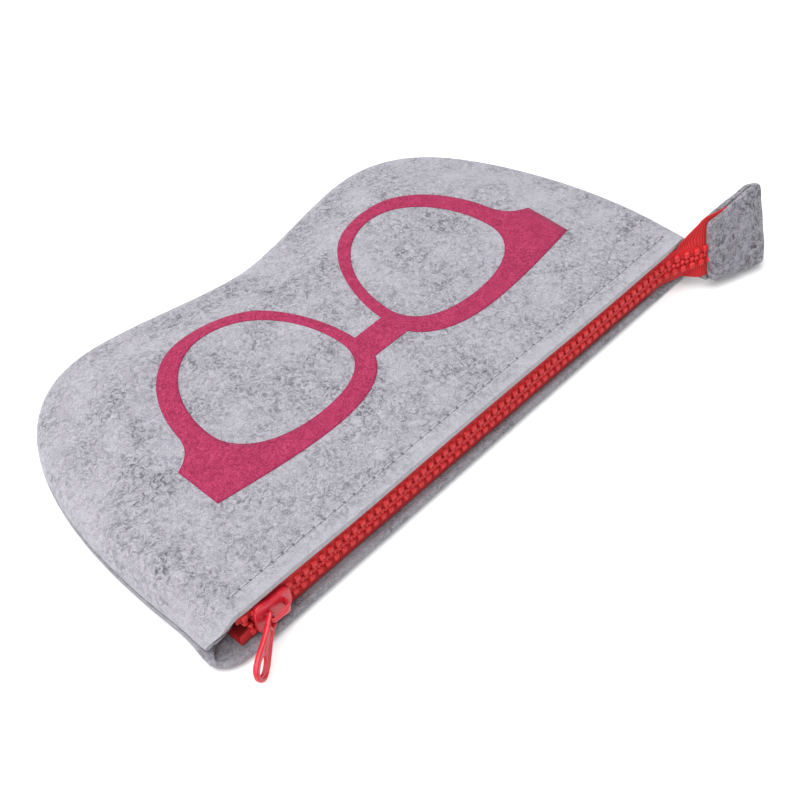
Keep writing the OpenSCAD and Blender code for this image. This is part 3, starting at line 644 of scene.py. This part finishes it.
def tape_middle(s, front_tape):
    """The tape's middle sheet at lengths s: corded edge, leaning face, rounded fold and the leg
    under or over the felt, unrolling to a flat strip along the tail. Also the distance across."""
    c, t, u, n = chain_frame(s)
    sign = 1 if front_tape else -1
    level = roof_z if front_tape else floor_z
    fold_y = chain_y + (level - chain_z) * np.tan(zip_tilt)
    full_leg = tape_w - 5
    if front_tape:
        free = smooth((c[:, 0] - bend_x - 7) / (tab_open[0] - bend_x - 6.5))[:, None]
        leaving = smooth((c[:, 0] - bend_x) / 8)[:, None]
        fold = np.concatenate([c[:, :1], fold_y + (mouth_y - 0.8 - fold_y) * leaving,
                               np.full_like(leaving, level)], axis=1)
        leg = full_leg + (0.3 - full_leg) * leaving
        wide = tape_w - 1.5
    else:
        free = smooth((c[:, 0] - bend_x - 4) / (tab_open[0] - bend_x - 4))[:, None]
        leaving = smooth((c[:, 0] - tail_flat) / 12)[:, None]
        fold = np.concatenate([c[:, :1], fold_y - 3.5 * leaving, level + 0.7 * leaving], axis=1)
        leg = full_leg + (1 - full_leg) * leaving
        wide = 7.0
    corded = c + sign * u * (cord_y + parting(s))[:, None]
    fold = fold + (c + sign * u * (cord_y + wide) / 2 - fold) * free
    hem = np.concatenate([fold[:, :1], fold[:, 1:2] + leg, fold[:, 2:]], axis=1)
    hem = hem + (c + sign * u * wide - hem) * free
    f = np.linspace(0, 1, 7)[None, :, None]
    face = corded[:, None] + (fold - corded)[:, None] * f * 0.9
    back_leg = fold[:, None] + (hem - fold)[:, None] * (0.1 + 0.9 * f)
    bend = 0.25 * face[:, -1:] + 0.5 * fold[:, None] + 0.25 * back_leg[:, :1]
    rows = np.concatenate([face, bend, back_leg], axis=1)
    steps = np.linalg.norm(np.diff(rows, axis=1), axis=2)
    return rows, np.concatenate([np.zeros((len(rows), 1)), np.cumsum(steps, axis=1)], axis=1)


def sheet_normals(rows):
    """Unit normals of a grid of points, from the steps along and across it."""
    return unit(np.cross(np.gradient(rows, axis=0), np.gradient(rows, axis=1)))


def woven_tape():
    """Zip tape: ribs across the tape 0.6 mm apart, crossed by fine warp threads, with painted shade
    as darker red in the valleys. The pattern follows the piece's own UV map, in millimetres along and
    across."""
    tape, shader = new_material("red_zip_tape", {
        "Roughness": 0.75, "Specular IOR Level": 0.3, "Sheen Weight": 0.25, "Sheen Roughness": 0.5,
        "Sheen Tint": (1.0, 0.3, 0.3, 1)})
    place = node(tape, "ShaderNodeUVMap", uv_map="cloth").outputs["UV"]
    ribs = texture(tape, "Wave", place, bands_direction="X", Scale=0.53, Distortion=0.6, Detail=2.0,
                   **{"Detail Scale": 1.5})
    warp = texture(tape, "Wave", place, bands_direction="Y", Scale=1.1, Distortion=0.4, Detail=1.0)
    both = math_node(tape, "MULTIPLY_ADD", 0.35)
    # Painted shade in the weave: darker red where the pattern is low, in the valleys between the
    # ribs.
    tone = colour_ramp(tape, (0.1, (0.27, 0.005, 0.008)), (0.8, (0.44, 0.009, 0.013)),
                       (1.0, (0.52, 0.016, 0.020)))
    wire(tape, (warp, both.inputs[0]), (ribs, both.inputs[2]))
    drive(tape, shader, both.outputs[0], tone, bump(tape, 0.4, 0.00015))
    return tape


tape_stations = np.concatenate([np.arange(chain_start - 1.2, bend_x, 1.5),
                                np.linspace(bend_x, chain_end, 46)])
tape_cloth = woven_tape()
for name, is_front, solid in (("tape_front", True, "zip_tape_front"),
                              ("tape_back", False, "zip_tape_back")):
    rows, across = tape_middle(tape_stations, is_front)
    lift = sheet_normals(rows) * tape_t / 2
    strip = link_mesh(name, *double_sheet(rows + lift, rows - lift))
    chart = np.stack([np.broadcast_to(tape_stations[:, None], across.shape), across], axis=-1)
    chart = np.concatenate([chart.reshape(-1, 2)] * 2)
    corner = np.empty(len(strip.data.loops), int)
    strip.data.loops.foreach_get("vertex_index", corner)
    strip.data.uv_layers.new(name="cloth").data.foreach_set("uv", chart[corner].ravel())
    close_up(strip, tape_cloth)
    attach(strip, "pouch")
    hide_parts(solid)

# ---- Zip teeth ----
# Acetal teeth moulded round the tapes' corded edges, each a rounded pad that grips the cord
# and a narrower head that hooks between the heads of the other row.


def squared(v, power):
    """v raised to power with its sign kept."""
    return np.sign(v) * np.abs(v) ** power


def tube_faces(n, around, closed=False):
    """Faces of a tube of n rings of that many points, closed where its last ring meets its
    first."""
    i, k = np.meshgrid(np.arange(n if closed else n - 1), np.arange(around), indexing="ij")
    ring, after, beside = i * around, (i + 1) % n * around, (k + 1) % around
    return np.stack([ring + k, ring + beside, after + beside, after + k], axis=-1).reshape(-1, 4)


def rounded_lump(centre, half, power, around=10, rings=5):
    """A closed lump: an ellipsoid whose sines and cosines are raised to power, which squares it
    up. Points and faces of a grid of rings, whose poles close_up merges."""
    a = np.linspace(0, 2 * np.pi, around, endpoint=False)[None, :] + 0.3
    b = np.linspace(-np.pi / 2, np.pi / 2, rings + 1)[:, None]
    wide = squared(np.cos(b), power)
    grid = np.stack([half[0] * wide * squared(np.cos(a), power),
                     half[1] * wide * squared(np.sin(a), power),
                     half[2] * squared(np.sin(b), power) * np.ones_like(a)], axis=-1) + centre
    return grid.reshape(-1, 3), tube_faces(rings + 1, around)


def one_tooth():
    """A tooth with its head towards -Y: pad, neck and head as three lumps in one mesh."""
    lumps = [rounded_lump((0, 1.9, 0), (0.95, 1.0, 1.25), 0.42, 12, 6),
             rounded_lump((0, 0.45, 0), (0.5, 0.8, 0.9), 0.6, 8, 4),
             rounded_lump((0, -0.14, 0), (0.84, 0.56, 1.0), 0.45, 8, 4)]
    first = np.cumsum([0] + [len(p) for p, f in lumps[:-1]])
    return (np.concatenate([p for p, f in lumps]),
            np.concatenate([f + k for (p, f), k in zip(lumps, first)]))


def moulded_plastic(name, dark, bright, roughness, coat=0.0):
    """Dyed acetal: satin or glossy, very slightly mottled, with the faint ripple of the mould."""
    plastic, shader = new_material(name, {
        "Roughness": roughness, "Specular IOR Level": 0.35, "Coat Weight": coat,
        "Coat Roughness": 0.12, "Subsurface Weight": 0.08,
        "Subsurface Radius": (0.001, 0.0004, 0.0004), "Subsurface Scale": 0.6})
    place = node(plastic, "ShaderNodeTexCoord").outputs["Object"]
    mottle = texture(plastic, "Noise", place, Scale=900.0, Detail=3.0)
    drive(plastic, shader, mottle, colour_ramp(plastic, (0.3, dark), (0.7, bright)),
          bump(plastic, 0.2, 0.0001))
    return plastic


tooth_points, tooth_faces = one_tooth()
tooth_plastic = moulded_plastic("red_acetal", (0.43, 0.009, 0.012), (0.56, 0.018, 0.022), 0.40)
tooth_count = int((bend_x + tail_l + 3.5 - chain_start) // tooth_pitch)
for name, sign, lag, solid in (("teeth_front", 1, 0, "zip_teeth_front"),
                               ("teeth_back", -1, tooth_pitch / 2, "zip_teeth_back")):
    s = chain_start + 1 + lag + np.arange(tooth_count) * tooth_pitch
    c, t, u, n = chain_frame(s)
    c = c + sign * u * parting(s)[:, None]
    local = tooth_points * [1, sign, sign]
    placed = (c[:, None] + local[None, :, :1] * t[:, None] + local[None, :, 1:2] * u[:, None]
              + local[None, :, 2:] * n[:, None])
    first = np.arange(tooth_count) * len(tooth_points)
    faces = (tooth_faces[None] + first[:, None, None]).reshape(-1, 4)
    row = link_mesh(name, placed.reshape(-1, 3), faces)
    close_up(row, tooth_plastic)
    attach(row, "pouch")
    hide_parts(solid)

# ---- Slider ----
# Injection-moulded glossy plastic. Two wings joined by a post at the wide end are folded round
# the chain by low flanges, and the crown, a strap moulded in one with the face, spans it.

gloss = moulded_plastic("red_gloss", (0.45, 0.010, 0.022), (0.54, 0.016, 0.032), 0.28, coat=0.2)

wing_in, flange_foot, corner_round, side_y = tooth_t / 2 + run_gap, 0.525, 0.75, np.array([0, 1.0, 0])
wing_out = wing_in + wing_t


def end_caps(n, around):
    """The two end faces of a tube of n rings of that many points."""
    return [tuple(np.arange(around)[::-1]), tuple((n - 1) * around + np.arange(around))]


def swept(path, side, face, half_w, half_t, power, closed=False, around=16):
    """A bar along the path: at each point an oval section of half width half_w to the side and
    half thickness half_t towards the face, squared up by power. Ends are closed flat."""
    a = np.linspace(0, 2 * np.pi, around, endpoint=False)
    wide = squared(np.cos(a), power)[None, :, None] * np.asarray(side)[:, None, :]
    thick = squared(np.sin(a), power)[None, :, None] * np.asarray(face)[:, None, :]
    grid = path[:, None, :] + wide * half_w[:, None, None] + thick * half_t[:, None, None]
    faces = [tuple(q) for q in tube_faces(len(path), around, closed)]
    if not closed:
        faces += end_caps(len(path), around)
    return grid.reshape(-1, 3), faces


def joined(*shells):
    """Several shells as the points and faces of one mesh."""
    points, faces, first = [], [], 0
    for p, f in shells:
        points.append(p)
        faces += [tuple(int(v) + first for v in face) for face in f]
        first += len(p)
    return np.concatenate(points), faces


def wing_half(x):
    """Half width of a wing at x: the broad end, the waist, the straight part and the nose."""
    xs = [-6.2, -6.1, -5.9, -5.5, -5.0, -4.3, -3.4, -1.0, 2.0, 3.8, 4.6, 5.1, 5.4, 5.55, 5.6]
    ws = [1.6, 2.3, 3.1, 3.9, 4.4, 4.6, 4.5, 3.75, 3.6, 3.6, 3.45, 3.1, 2.6, 2.1, 1.6]
    return np.interp(x, xs, ws)


def wing(sign):
    """One wing with its two flanges: a channel section carried along the slider, its outer
    corners rounded, its face slightly domed, its ends rounded down. sign is 1 for the face.
    Its faces point outwards as they are made."""
    u = np.linspace(0, np.pi, 41)
    x = -0.3 - 5.9 * np.cos(u)
    half = wing_half(x)
    end = np.sin(u) ** 0.35
    foot = flange_foot + (wing_in - flange_foot) * (1 - np.clip((end - 0.5) / 0.3, 0, 1))
    crest = wing_in + wing_t * (0.35 + 0.65 * end)
    bow = np.radians(np.linspace(0, 90, 6))[:, None]
    y = np.concatenate([[half - flange_t, half], half - corner_round * (1 - np.cos(bow)),
                        [half * 0.5, half * 0.2]])
    z = np.concatenate([[foot, foot], crest - corner_round * (1 - np.sin(bow)) * 0.75,
                        [crest + 0.10 * end, crest + 0.14 * end]])
    roof = (half - flange_t) * np.array([-1, -0.5, 0.5, 1])[:, None]
    y = np.concatenate([y, -y[::-1], roof])
    z = np.concatenate([z, z[::-1], np.full_like(roof, wing_in)])
    grid = np.stack([np.broadcast_to(x, y.shape), y, z * sign], axis=-1).transpose(1, 0, 2)
    faces = [tuple(q) for q in tube_faces(*grid.shape[:2])] + end_caps(*grid.shape[:2])
    return grid.reshape(-1, 3), faces if sign > 0 else [face[::-1] for face in faces]


def on_slider(points):
    """Points given along, across and out of the slider, set in the pouch's frame."""
    c, t, u, n = (v[0] for v in chain_frame(np.array([slider_x])))
    return c + points[:, :1] * t + points[:, 1:2] * u + points[:, 2:] * n


def moulding(name, points, faces, body, solid, recalculate=True):
    """A glossy piece from points in the slider's axes, which stands for its CAD solid."""
    piece = link_mesh(name, on_slider(points), faces)
    close_up(piece, gloss, recalculate)
    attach(piece, body)
    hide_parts(solid)


post = rounded_lump((-5.6, 0, 0), (0.5, 0.22, 1.9), 0.5)
moulding("slider_wings", *joined(wing(1), wing(-1), (post[0], [tuple(f) for f in post[1]])),
         "slider", "slider_body", recalculate=False)

arch = np.linspace(np.pi, 0, 41)
crown_x = -0.125 + 3.325 * squared(np.cos(arch), 0.55)
crown_z = wing_out - 0.1 + 2.5 * np.sin(arch) ** 0.55
crown_path = np.stack([crown_x, np.zeros_like(arch), crown_z], axis=1)
crown_run = unit(np.gradient(crown_path, axis=0))
crown_shell = swept(crown_path, np.broadcast_to(side_y, crown_path.shape),
                    np.cross(crown_run, side_y), 0.6 + 0.75 * smooth((crown_x + 0.5) / 3.6),
                    np.full(len(arch), 0.4), 0.7)
moulding("slider_strap", *crown_shell, "slider", "slider_crown")

# ---- Puller ----
# Moulded in the same plastic: a cross bar that turns under the crown, two short arms round the
# crown, a shank with a sunk panel, and a drop-shaped grip with a pointed hole through it.

puller_l, puller_w, puller_t = 16.7, 6.2, 1.5
puller_turn, puller_lift = np.radians(23), np.radians(29)
bar_x, bar_z, bar_shift, eye_half, arm_w = -1.65, 3.1, 0.3, 1.25, 0.55
hole_x, hole_half_l, hole_half_w = 12.9, 2.5, 1.1
shank_x, rim_w = 3.0, 1.15
root_half = eye_half + arm_w


def puller_half(x):
    """Half width of the shank at x, widening smoothly to the grip."""
    return root_half + (puller_w / 2 - root_half) * smooth((x - 4.0) / (puller_l - 8.0))


def ring_tube(outer, inner, half_t, power, around=14):
    """A closed ring between two paired outlines: its section is an oval squared up by power."""
    b = np.linspace(0, 2 * np.pi, around, endpoint=False)
    across, up_z = (squared(f(b), power)[None, :, None] for f in (np.cos, np.sin))
    grid = (outer + inner)[:, None, :] / 2 + (inner - outer)[:, None, :] / 2 * across
    grid = np.concatenate([grid, np.broadcast_to(up_z * half_t, grid.shape[:2] + (1,))], axis=2)
    return grid.reshape(-1, 3), [tuple(q) for q in tube_faces(len(outer), around, closed=True)]


def puller_mesh():
    """The puller lying flat, its bar on the Y axis: an eye, a raised rim all round the shank and
    grip, and a thinner web between, pierced by the pointed hole."""
    k = np.linspace(0, 2 * np.pi, 64, endpoint=False)
    eye = np.stack([1.7 + 1.75 * squared(np.cos(k), 0.35),
                    (eye_half + arm_w / 2) * squared(np.sin(k), 0.35), np.zeros_like(k)], axis=1)
    bar = smooth((0.9 - eye[:, 0]) / 0.8)
    run = unit(np.roll(eye, -1, 0) - np.roll(eye, 1, 0))
    face = np.broadcast_to([0, 0, 1.0], eye.shape)
    eye_shell = swept(eye, np.cross(run, face), face, 0.29 + 0.24 * bar, 0.66 - 0.11 * bar, 0.7,
                      closed=True)
    x = np.linspace(shank_x, puller_l - puller_w / 2, 40)
    a = np.linspace(np.pi / 2, -np.pi / 2, 30)[1:-1]
    tip = np.stack([puller_l + puller_w / 2 * (np.cos(a) - 1), puller_w / 2 * np.sin(a)], axis=1)
    outline = np.vstack([np.stack([x, puller_half(x)], axis=1), tip,
                         np.stack([x, -puller_half(x)], axis=1)[::-1],
                         [[shank_x - 0.1, root_half / 2 * side] for side in (-1, 0, 1)]])
    step = unit(np.roll(outline, -1, 0) - np.roll(outline, 1, 0))
    inwards = np.stack([step[:, 1], -step[:, 0]], axis=1)
    to_hole = outline - [hole_x, 0]
    turn = np.arctan2(to_hole[:, 1] / puller_w, to_hole[:, 0] / puller_l)
    hole = np.stack([hole_x + hole_half_l * np.cos(turn),
                     hole_half_w * squared(np.sin(turn), 1.25)], axis=1)
    rim_shell = ring_tube(outline, outline + inwards * rim_w, puller_t / 2, 0.7)
    web_shell = ring_tube(outline + inwards * 0.4, hole, puller_t * 0.27, 0.4)
    return joined(eye_shell, rim_shell, web_shell)


def hang(points):
    """The flat puller turned to its hanging rest: slid along its bar, lifted off the face, and
    turned sideways about the face's normal, with its bar under the crown."""
    x, y, z = (points - [0, bar_shift, 0]).T
    c, s = np.cos(puller_lift), np.sin(puller_lift)
    x, z = x * c - z * s, x * s + z * c
    c, s = np.cos(np.pi + puller_turn), np.sin(np.pi + puller_turn)
    return np.stack([x * c - y * s, x * s + y * c, z], axis=1) + [bar_x, 0, bar_z]


puller_points, puller_faces = puller_mesh()
moulding("zip_puller", hang(puller_points), puller_faces, "puller", "puller")

# ---- Tail tab ----
# A strip of felt folded over the end of the tapes and closed round them: two layers with the
# fold at the far end and the cut edges showing on the other three sides.

tab_half = (2 * felt_t + tape_t) / 2 + 3 * felt_gap


def tab_grid(depth):
    """Points of the tab's outer (depth tab_half) or inner faces: rows run from the front layer's
    open end round the fold to the back layer's, columns up the tab. The pinched strip is
    shorter at its open end, its corners are rounded and its faces puff out a little."""
    leaf, bend = 16, 9
    f = np.concatenate([np.linspace(0, 1, leaf), np.ones(bend), np.linspace(1, 0, leaf)])[:, None]
    a = np.radians(np.concatenate([np.zeros(leaf), np.linspace(18, 162, bend),
                                   np.full(leaf, 180)]))[:, None]
    h = np.linspace(-1, 1, 25)[None, :]
    lean = unit(near_up + (far_up - near_up) * f)
    out = unit(np.cross(tab_axis, lean))
    behind = (1 - np.cos(a)) / 2
    rounding = np.abs(h) ** 9
    near_a = -4.0 - 1.2 * h - (0.7 - 0.7 * h) * behind + 1.2 * rounding
    far_a = 16.9 - 1.6 * h - 1.2 * rounding
    along_tab = near_a * (1 - f) + far_a * f
    up_tab = ((0.3 + 10.1 * h) * (1 - f) + (1.9 + 13.0 * h) * f) * (1 - 0.06 * rounding)
    swell = 0.5 * np.cos(np.pi / 2 * h) * np.sin(np.pi * np.clip(f, 0.05, 0.95)) \
        + 0.18 * np.sin(along_tab * 0.7 + up_tab * 0.33) * np.cos(up_tab * 0.5 - 1)
    side = np.cos(a) * depth + np.sign(np.cos(a)) * swell
    return (tab_near + tab_axis * (along_tab + np.sin(a) * depth)[..., None]
            + lean[:, None] * up_tab[..., None] + out[:, None] * side[..., None])


tab = link_mesh("felt_tab", *double_sheet(tab_grid(tab_half), tab_grid(tab_half - felt_t)))
# Same felt as the front panel, in darker tones: painted shade for the tab's face, which faces away
# from the lamp. Its dark flecks are also thicker.
tab_felt = marled_felt("marled_felt_tab_painted_shade", (0.27, 0.262, 0.292), (0.04, 0.038, 0.046), (0.75, 1.7))[0]
close_up(tab, tab_felt)
soften_edges(tab, 0.35)
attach(tab, "pouch")
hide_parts("tail_tab")

# ---- Stitching ----
# Lockstitch in pale grey thread, 3.6 mm a stitch: one row through the front panel and the
# tape, made here, and two that keep their CAD shapes, one through the lip and the seam that
# joins the two panels from the inside.


def sewing_thread():
    """Spun thread: two plies twisted together, seen as slanting ridges."""
    thread, shader = new_material("grey_thread", {"Roughness": 0.6, "Sheen Weight": 0.3})
    place = node(thread, "ShaderNodeTexCoord").outputs["Object"]
    plies = texture(thread, "Wave", place, bands_direction="DIAGONAL", Scale=900.0, Distortion=0.5)
    tone = colour_ramp(thread, (0.0, (0.22, 0.22, 0.235)), (1.0, (0.45, 0.44, 0.465)))
    drive(thread, shader, plies, tone, bump(thread, 0.6, 0.0001))
    return thread


def stitch_tubes(starts, ends, rise=0.45, radius=0.28):
    """Thread from each start to its end: a tube that rises as a half sine between two holes,
    tapering into them. Points of (stitch, ring, round) and the faces of every tube."""
    rings, around = 9, 6
    u = np.linspace(0, 1, rings)
    a = np.linspace(0, 2 * np.pi, around, endpoint=False)
    d = unit(ends - starts)
    side = unit(np.cross(d, [0, 0, 1.0]))
    top = np.cross(side, d)
    height = rise * (np.sin(np.pi * u) ** 0.6 - 0.55)
    line = starts[:, None] + (ends - starts)[:, None] * u[None, :, None] + height[:, None] * [0, 0, 1]
    r = radius * (0.35 + 0.65 * np.sin(np.pi * u) ** 0.5)
    ring = side[:, None, None] * np.cos(a)[:, None] + top[:, None, None] * np.sin(a)[:, None]
    points = line[:, :, None] + ring * r[None, :, None, None]
    first = np.arange(len(starts)) * rings * around
    faces = (tube_faces(rings, around)[None] + first[:, None, None]).reshape(-1, 4).tolist()
    for k in first:
        faces += [tuple(np.add(cap, k)) for cap in end_caps(rings, around)]
    return points.reshape(-1, 3), faces


def on_row(x):
    """Points on the front panel's face along the stitching's line."""
    y = np.full_like(x, stitch_y)
    return np.stack([x, y, face_height(x, y) + 0.15], axis=1)


thread = sewing_thread()
row_x = (np.arange(stitch_count) - stitch_count / 2) * stitch_pitch
stitches = link_mesh("stitches_front",
                     *stitch_tubes(on_row(row_x + 0.3), on_row(row_x + stitch_pitch - 0.3)))
close_up(stitches, thread)
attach(stitches, "pouch")
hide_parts("mouth_stitch_front")
for solid in ("mouth_stitch_back", "perimeter_seam"):
    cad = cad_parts[solid]
    cad.data.materials.clear()
    cad.data.materials.append(thread)
